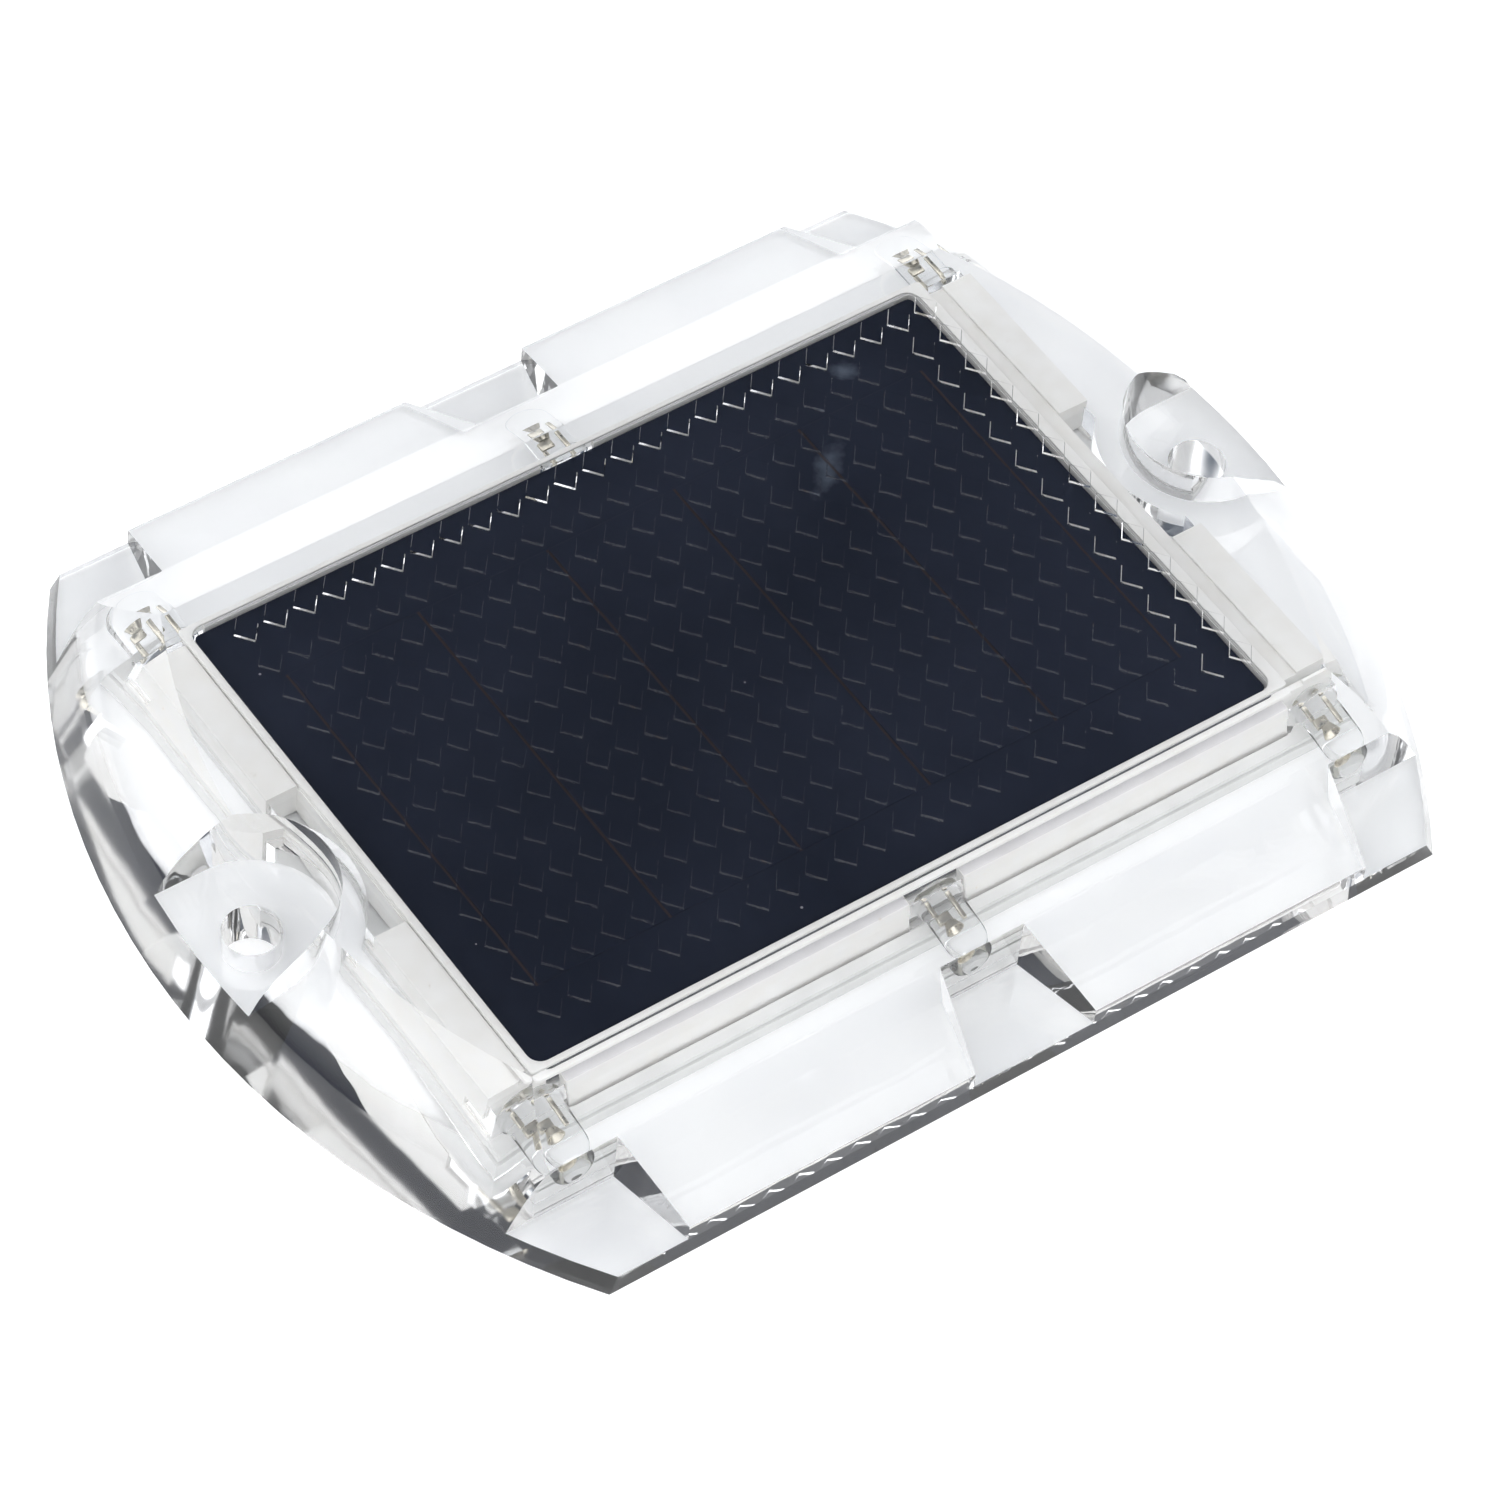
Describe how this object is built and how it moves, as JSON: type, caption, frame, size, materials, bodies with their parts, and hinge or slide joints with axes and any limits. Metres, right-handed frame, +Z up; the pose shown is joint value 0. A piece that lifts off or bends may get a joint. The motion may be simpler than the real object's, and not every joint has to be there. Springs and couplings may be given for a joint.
{
  "type": "raised pavement marker",
  "caption": "Low clear road stud with a solar panel under a pipped flat top, sloping ramps, light recesses along both long sides and a counterbored screw hole at each end.",
  "frame": {"origin": "middle of the underside, on the road surface", "axes": "+Z up out of the road, X along the straight long sides from one screw hole to the other, Y across the marker in the direction the lights face"},
  "size_m": [0.1424, 0.1086, 0.0138],
  "materials": {
    "clear_shell": "polished water-clear polycarbonate",
    "clear_laminate": "clear resin",
    "solar_cell": "dark blue black silicon",
    "panel_board": "satin black",
    "tray": "satin cream",
    "base_plate": "satin white",
    "seal_rubber": "matte grey",
    "lead_wire": "tinned",
    "wire_red": "satin",
    "wire_black": "satin",
    "circuit_board": "solder mask",
    "led_lens": "clear water epoxy",
    "component_black": "moulded epoxy",
    "button_plastic": "satin",
    "ferrite": "matte",
    "component_metal": "satin",
    "battery_wrap": "foil film"
  },
  "bodies": {
    "marker": {"base_gasket": "seal_rubber", "base_plate": "base_plate", "battery_cell": "battery_wrap", "battery_wire_black": "wire_black", "battery_wire_red": "wire_red", "capacitor": "component_metal", "clear_resin": "clear_shell", "control_board": "circuit_board", "diode": "component_black", "driver_chip": "component_black", "inductor": "ferrite", "inner_tray": "tray", "led_1": "led_lens", "led_1_lead_a": "lead_wire", "led_1_lead_b": "lead_wire", "led_2": "led_lens", "led_2_lead_a": "lead_wire", "led_2_lead_b": "lead_wire", "led_3": "led_lens", "led_3_lead_a": "lead_wire", "led_3_lead_b": "lead_wire", "led_4": "led_lens", "led_4_lead_a": "lead_wire", "led_4_lead_b": "lead_wire", "led_5": "led_lens", "led_5_lead_a": "lead_wire", "led_5_lead_b": "lead_wire", "led_6": "led_lens", "led_6_lead_a": "lead_wire", "led_6_lead_b": "lead_wire", "led_board_back": "circuit_board", "led_board_front": "circuit_board", "led_board_wire_back_black": "wire_black", "led_board_wire_back_red": "wire_red", "led_board_wire_front_black": "wire_black", "led_board_wire_front_red": "wire_red", "panel_backboard": "panel_board", "panel_laminate": "clear_laminate", "panel_wire_black": "wire_black", "panel_wire_red": "wire_red", "resistor_1": "component_black", "resistor_2": "component_black", "solar_cell_1": "solar_cell", "solar_cell_2": "solar_cell", "solar_cell_3": "solar_cell", "solar_cell_4": "solar_cell", "solar_cell_5": "solar_cell", "switch_body": "component_black", "top_shell": "clear_shell"},
    "push_button": {"switch_button": "button_plastic", "button_cap": "seal_rubber"}
  },
  "joints": [
    {"name": "switch_press", "type": "slide", "parent": "marker", "child": "push_button", "axis": [0, 0, 1], "range_m": [0, 0.0005], "stiffness_N_per_m": 400}
  ]
}
